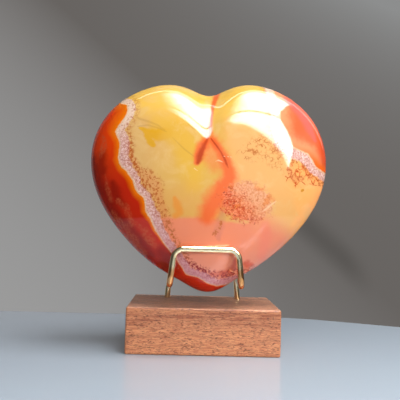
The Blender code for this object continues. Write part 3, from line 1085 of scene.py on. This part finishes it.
# %% [markdown]
# ## The brass wires
#
# The stand is two lengths of round brass wire. One is bent to a tall hoop whose legs are pressed into
# the block, and it holds the heart's back. The other is bent to a low hoop in front, with two arms
# that run back under the stone and are brazed to the first wire's legs. A curve with a bevel depth
# would do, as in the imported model. A profile carried along the route lets the wire swell into its
# brazed joint and have domed ends.

# %% A tube along a route
WIRE_RADIUS = 1.25 * MM
WIRE_BEND = 4.0 * MM
WIRE_SIDES = 28
WIRE_STEP = 0.5 * MM
BEND_STEPS = 18
WIRE_DOME = 0.4 * MM
LEAST_RADIUS = 0.1
SAME_POINT = 0.01 * MM


def rounded_route(corners, bend):
    """Straight runs between the corners, with an arc of the bend's radius at each inner one."""
    corners = [np.array(corner, float) for corner in corners]
    pieces = []
    last = corners[0]
    for before, corner, after in zip(corners, corners[1:], corners[2:]):
        back = (before - corner) / np.linalg.norm(before - corner)
        onward = (after - corner) / np.linalg.norm(after - corner)
        half = math.acos(back @ onward) / 2
        middle = (back + onward) / np.linalg.norm(back + onward)
        centre = corner + middle * bend / math.sin(half)
        start = corner + back * bend / math.tan(half)
        end = corner + onward * bend / math.tan(half)
        turn = math.pi - 2 * half
        share = np.linspace(0.0, 1.0, BEND_STEPS)[:, None]
        arc = np.sin((1 - share) * turn) * (start - centre) + np.sin(share * turn) * (end - centre)
        pieces.append(straight(last, start))
        pieces.append(centre + arc / math.sin(turn))
        last = end
    pieces.append(straight(last, corners[-1]))
    route = np.concatenate(pieces)
    apart = np.linalg.norm(np.diff(route, axis=0), axis=1) > SAME_POINT
    return route[np.concatenate([[True], apart])]


def straight(start, end):
    count = max(2, int(np.linalg.norm(end - start) / WIRE_STEP))
    return start + np.linspace(0.0, 1.0, count)[:, None] * (end - start)


def lengths_along(route):
    return np.concatenate([[0.0], np.cumsum(np.linalg.norm(np.diff(route, axis=0), axis=1))])


def tube(route, radii, leaning):
    """Rings round a route: its point, plus the radius times cos and sin of the angle along two normals.

    The first normal is a fixed leaning direction with its share along the route taken off, and the
    second is square to both.
    """
    along = np.gradient(route, axis=0)
    along /= np.linalg.norm(along, axis=1, keepdims=True)
    lean = np.array(leaning, float)
    first = lean - (along @ lean)[:, None] * along
    first /= np.linalg.norm(first, axis=1, keepdims=True)
    second = np.cross(along, first)
    angle = np.linspace(0.0, 2 * math.pi, WIRE_SIDES, endpoint=False)[None, :, None]
    spokes = np.cos(angle) * first[:, None] + np.sin(angle) * second[:, None]
    return route[:, None] + radii[:, None, None] * spokes


def wire_radii(route):
    """The wire's radius, falling in a quarter circle to almost nothing over a dome at each end."""
    far = lengths_along(route)
    from_end = np.minimum(far, far[-1] - far)
    share = 1 - np.clip(from_end / WIRE_DOME, 0.0, 1.0)
    return WIRE_RADIUS * np.sqrt(np.maximum(1 - share**2, LEAST_RADIUS**2))

# %% The two wires' routes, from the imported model
HOLE_SPACING = 32.7 * MM
STAND_MIDDLE = 0.2 * MM
BACK_REST_SPLAY = math.radians(5.0)
BACK_REST_TOP = 62.0 * MM
LEG_Y = 12.0 * MM
LEG_DRIFT = 0.25 * MM
FRONT_BAR_HALF = 12.7 * MM
ARM_HALF_SPACING = 14.4 * MM

rest_low, rest_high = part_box("back_rest_wire")
cradle_low, cradle_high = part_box("front_cradle_wire")
block_low, block_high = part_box("wood_block")
leg_foot_y = rest_low.y + WIRE_RADIUS
print("back rest in mm:", in_mm([rest_low, rest_high]))
print("front cradle in mm:", in_mm([cradle_low, cradle_high]))


def leg_point(side, height):
    """The middle of a back rest's leg at a height."""
    rise = height - block_high.z
    share = rise / (BACK_REST_TOP - block_high.z)
    x = STAND_MIDDLE + side * (HOLE_SPACING / 2 - rise * math.tan(BACK_REST_SPLAY))
    return (x, LEG_Y + share * LEG_DRIFT, height)


bar_y = cradle_low.y + WIRE_RADIUS
bar_z = cradle_high.z - WIRE_RADIUS
arm_front_z = cradle_low.z + WIRE_RADIUS
ARM_RISE = math.tan(math.radians(2.5))


def cradle_side(side):
    """The arm's end in the middle of the leg, its bend under the stone, and the front hoop's shoulder."""
    leg = leg_point(side, arm_front_z + ARM_RISE * (leg_foot_y - bar_y))
    bend = (STAND_MIDDLE + side * ARM_HALF_SPACING, bar_y, arm_front_z)
    shoulder = (STAND_MIDDLE + side * FRONT_BAR_HALF, bar_y, bar_z)
    return [leg, bend, shoulder]


BRAZE_FLARE = 0.55 * MM
BRAZE_REACH = 0.7 * MM


def make_back_rest():
    ends = ((-1, rest_low.z), (-1, BACK_REST_TOP), (1, BACK_REST_TOP), (1, rest_low.z))
    route = rounded_route([leg_point(side, height) for side, height in ends], WIRE_BEND)
    return add_piece("back_rest_hoop", *closed_rings(tube(route, wire_radii(route), (0, 1, 0))))


def make_front_cradle():
    """The wire swells near each end by a flare that dies away over the braze's reach."""
    route = rounded_route(cradle_side(-1) + cradle_side(1)[::-1], WIRE_BEND)
    far = lengths_along(route)
    from_leg = np.minimum(far, far[-1] - far) - WIRE_RADIUS
    radii = wire_radii(route) + BRAZE_FLARE * np.exp(-np.abs(from_leg) / BRAZE_REACH)
    return add_piece("front_cradle_hoop", *closed_rings(tube(route, radii, (0.6, 0.5, 0.6))))


back_rest = make_back_rest()
front_cradle = make_front_cradle()
for piece, node in ((back_rest, "back_rest_wire"), (front_cradle, "front_cradle_wire")):
    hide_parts(node)
    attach(piece, "root")
    print(piece.name, len(piece.data.vertices), "points")

# %% The brass
BRASS_LIGHT = colour(255, 236, 192)
BRASS_DARK = colour(246, 212, 150)
LEG_REFLECTION_TINT = colour(222, 138, 66)
REFLECTION_TOP = 36.0 * MM
REFLECTION_REACH = 1.5 * MM

brass = new_material("polished brass")
place = object_place(brass)
tarnish = noise(place, 240.0, detail=4.0, roughness=0.6)
tone = lay(BRASS_LIGHT, BRASS_DARK, tarnish, 0.45, 0.75)
# A painted reflection: the front hoop's lower legs are painted orange-brown below a height.
in_front = step(part(place, "Y"), -16.0 * MM, -20.0 * MM)
tone = lay(tone, LEG_REFLECTION_TINT, part(place, "Z"), REFLECTION_TOP + REFLECTION_REACH, REFLECTION_TOP - REFLECTION_REACH, 0.75 * in_front)
drawn = noise(place, 2600.0, detail=2.0)
relief = add_node("Bump", {"Height": drawn, "Strength": 0.05, "Distance": 0.05 * MM})
set_shader(brass, Base_Color=tone, Roughness=smudged(place, 220.0, 0.10, 0.2), Metallic=1.0, Normal=relief)
for piece in (back_rest, front_cradle):
    piece.data.materials.append(brass)
print("brass material:", len(brass.node_tree.nodes), "nodes")

# %% [markdown]
# ## The wood block
#
# The block is a short length of red-brown hardwood with its grain along X. Its edges are eased with
# sandpaper and two holes are drilled in its top for the wire. A cube with a Bevel modifier would give
# the shape. Here a rounded box is a formula: each point of a box is first pulled back into a smaller
# box, and then pushed out again by the edge's radius. The radius wanders a little along the edges, as
# hand sanding leaves it. The holes are cut with a Boolean, which is the right tool for a drill.

# %% The block's shape
EDGE_ROUND = 0.85 * MM
EDGE_WANDER = 0.18
WANDER_RATES = (310, 470, 530)
WANDER_STARTS = (1, 2, 0)
EDGE_LINES = 7
FACE_LINES = 24
HOLE_RADIUS = 1.5 * MM
HOLE_CHAMFER = 0.25 * MM
HOLE_DEPTH = 12.0 * MM


def face_lines(half, rim):
    """Grid lines from -half to half, close together over the rounded rim."""
    edge = rim * (1 - np.cos(np.linspace(0, math.pi / 2, EDGE_LINES)))
    middle = np.linspace(-half + rim, half - rim, FACE_LINES)[1:-1]
    return np.concatenate([edge - half, middle, half - edge[::-1]])


def box_faces(half):
    """Six grids that cover a box of these half sizes, as points and quads that face outwards."""
    points, quads, count = [], [], 0
    for axis in range(3):
        one, two = (axis + 1) % 3, (axis + 2) % 3
        for sign in (-1, 1):
            a, b = np.meshgrid(*(face_lines(half[other], 2 * EDGE_ROUND) for other in (one, two)))
            grid = np.empty((*a.shape, 3))
            grid[..., axis], grid[..., one], grid[..., two] = sign * half[axis], a, b
            faces = grid_faces(*a.shape)
            points.append(grid.reshape(-1, 3))
            quads.append(count + (faces if sign > 0 else faces[:, ::-1]))
            count += a.size
    return np.concatenate(points), np.concatenate(quads)


def rounded_box(half):
    """Each point pulled into the box less its radius, then pushed out by the radius along the same line."""
    points, quads = box_faces(half)
    wander = np.sin(points * WANDER_RATES + WANDER_STARTS).mean(axis=1, keepdims=True)
    radius = EDGE_ROUND * (1 + EDGE_WANDER * wander)
    core = np.clip(points, radius - half, half - radius)
    away = points - core
    away /= np.linalg.norm(away, axis=1, keepdims=True)
    return core + radius * away, quads


def drill(side):
    """A turned profile along the leg: a shaft that opens to a chamfer at the hole's mouth."""
    top = block_high.z
    heights = np.array([top - HOLE_DEPTH, top - HOLE_CHAMFER, top, top + 2 * HOLE_CHAMFER])
    radii = HOLE_RADIUS + np.array([0.0, 0.0, HOLE_CHAMFER, 3 * HOLE_CHAMFER])
    route = np.array([leg_point(side, height) for height in heights])
    return add_piece("drill", *closed_rings(tube(route, radii, (0, 1, 0))))


def apply_modifiers(piece):
    """The piece's mesh as its modifiers leave it."""
    graph = bpy.context.evaluated_depsgraph_get()
    mesh = bpy.data.meshes.new_from_object(piece.evaluated_get(graph))
    piece.modifiers.clear()
    piece.data = mesh


def make_block():
    half = np.array((block_high - block_low) / 2)
    points, quads = rounded_box(half)
    block = add_piece("block_oiled_wood", points + np.array((block_high + block_low) / 2), quads.tolist())
    weld = block.modifiers.new("weld", "WELD")
    weld.merge_threshold = SAME_POINT
    drills = [drill(side) for side in (-1, 1)]
    for cutter in drills:
        hole = block.modifiers.new("hole", "BOOLEAN")
        hole.operation = "DIFFERENCE"
        hole.object = cutter
    apply_modifiers(block)
    for cutter in drills:
        bpy.data.objects.remove(cutter)
    block.data.shade_smooth()
    block.data.set_sharp_from_angle(angle=math.radians(35))
    return block


block = make_block()
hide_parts("wood_block")
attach(block, "root")
print("block:", len(block.data.vertices), "points, holes of radius", HOLE_RADIUS / MM, "mm")

# %% [markdown]
# The wood's rings are those of a wide trunk, cut near flat, so they make long bands on the block's
# faces. Darker wavy streaks lie in a layer near the top. Fibres and open pores are noises stretched
# along the grain, and they are also the bump. The top face is a little paler, with dust and a painted
# sheen.

# %% The wood
WOOD_PALE = colour(212, 143, 98)
WOOD_MID = colour(180, 106, 70)
WOOD_DARK = colour(128, 66, 42)
PORE = colour(84, 40, 24)
STREAK = colour(126, 54, 32)
DUST_AND_SHEEN = colour(232, 204, 186)
RING_CENTRE = (0.0, 70.0 * MM, -95.0 * MM)
DARK_LAYER = 12.0 * MM
LAYER_EDGE = 1.5 * MM

wood = new_material("oiled red-brown wood")
place = object_place(wood)
upward = part(place, "Z")
moved = add_node("Mapping", {"Vector": place, "Location": [-value for value in RING_CENTRE]})
flat = add_node("VectorMath", {0: moved, 1: (0.12, 1.0, 1.0)}, operation="MULTIPLY")
far = add_node("VectorMath", {0: flat}, "Value", operation="LENGTH")
sway = noise(stretched(place, 26, 7, 7), 1.0, detail=4.0)
rings = add_node("CombineXYZ", {"X": shifted(460.0 * far, 4.0, sway)})
ring = noise(rings, 1.0, roughness=0.6)
fibre = noise(stretched(place, 4.5, 0.5, 0.5), 1.0, detail=4.0, roughness=0.7)
wave = noise(stretched(place, 15, 1.1, 1.1), 1.0, roughness=0.6, distortion=0.8)
pore = step(noise(stretched(place, 1.1, 0.32, 0.32), 1.0, detail=2.0, roughness=0.6), 0.52, 0.66)
swaying = shifted(upward, 7.0 * MM, sway)
high = step(swaying, DARK_LAYER - LAYER_EDGE, DARK_LAYER + LAYER_EDGE) * step(upward, 19.0 * MM, 18.6 * MM)
tone = lay(WOOD_MID, WOOD_PALE, fibre, 0.36, 0.62)
tone = lay(tone, WOOD_DARK, ring, 0.5, 0.36, 0.7)
tone = blend(0.3 * high, tone, WOOD_DARK)
tone = lay(tone, STREAK, wave, 0.51, 0.59, 0.15 + 0.45 * high)
tone = blend(0.8 * pore, tone, PORE)
# Dust and a painted sheen make the top face a little paler.
tone = lay(tone, DUST_AND_SHEEN, upward, 18.7 * MM, 19.0 * MM, 0.2)
relief = add_node("Bump", {"Height": fibre - pore, "Strength": 0.45, "Distance": 0.1 * MM})
set_shader(wood, Base_Color=tone, Roughness=smudged(place, 90.0, 0.36, 0.48), Normal=relief)
block.data.materials.append(wood)
print("wood material:", len(wood.node_tree.nodes), "nodes")
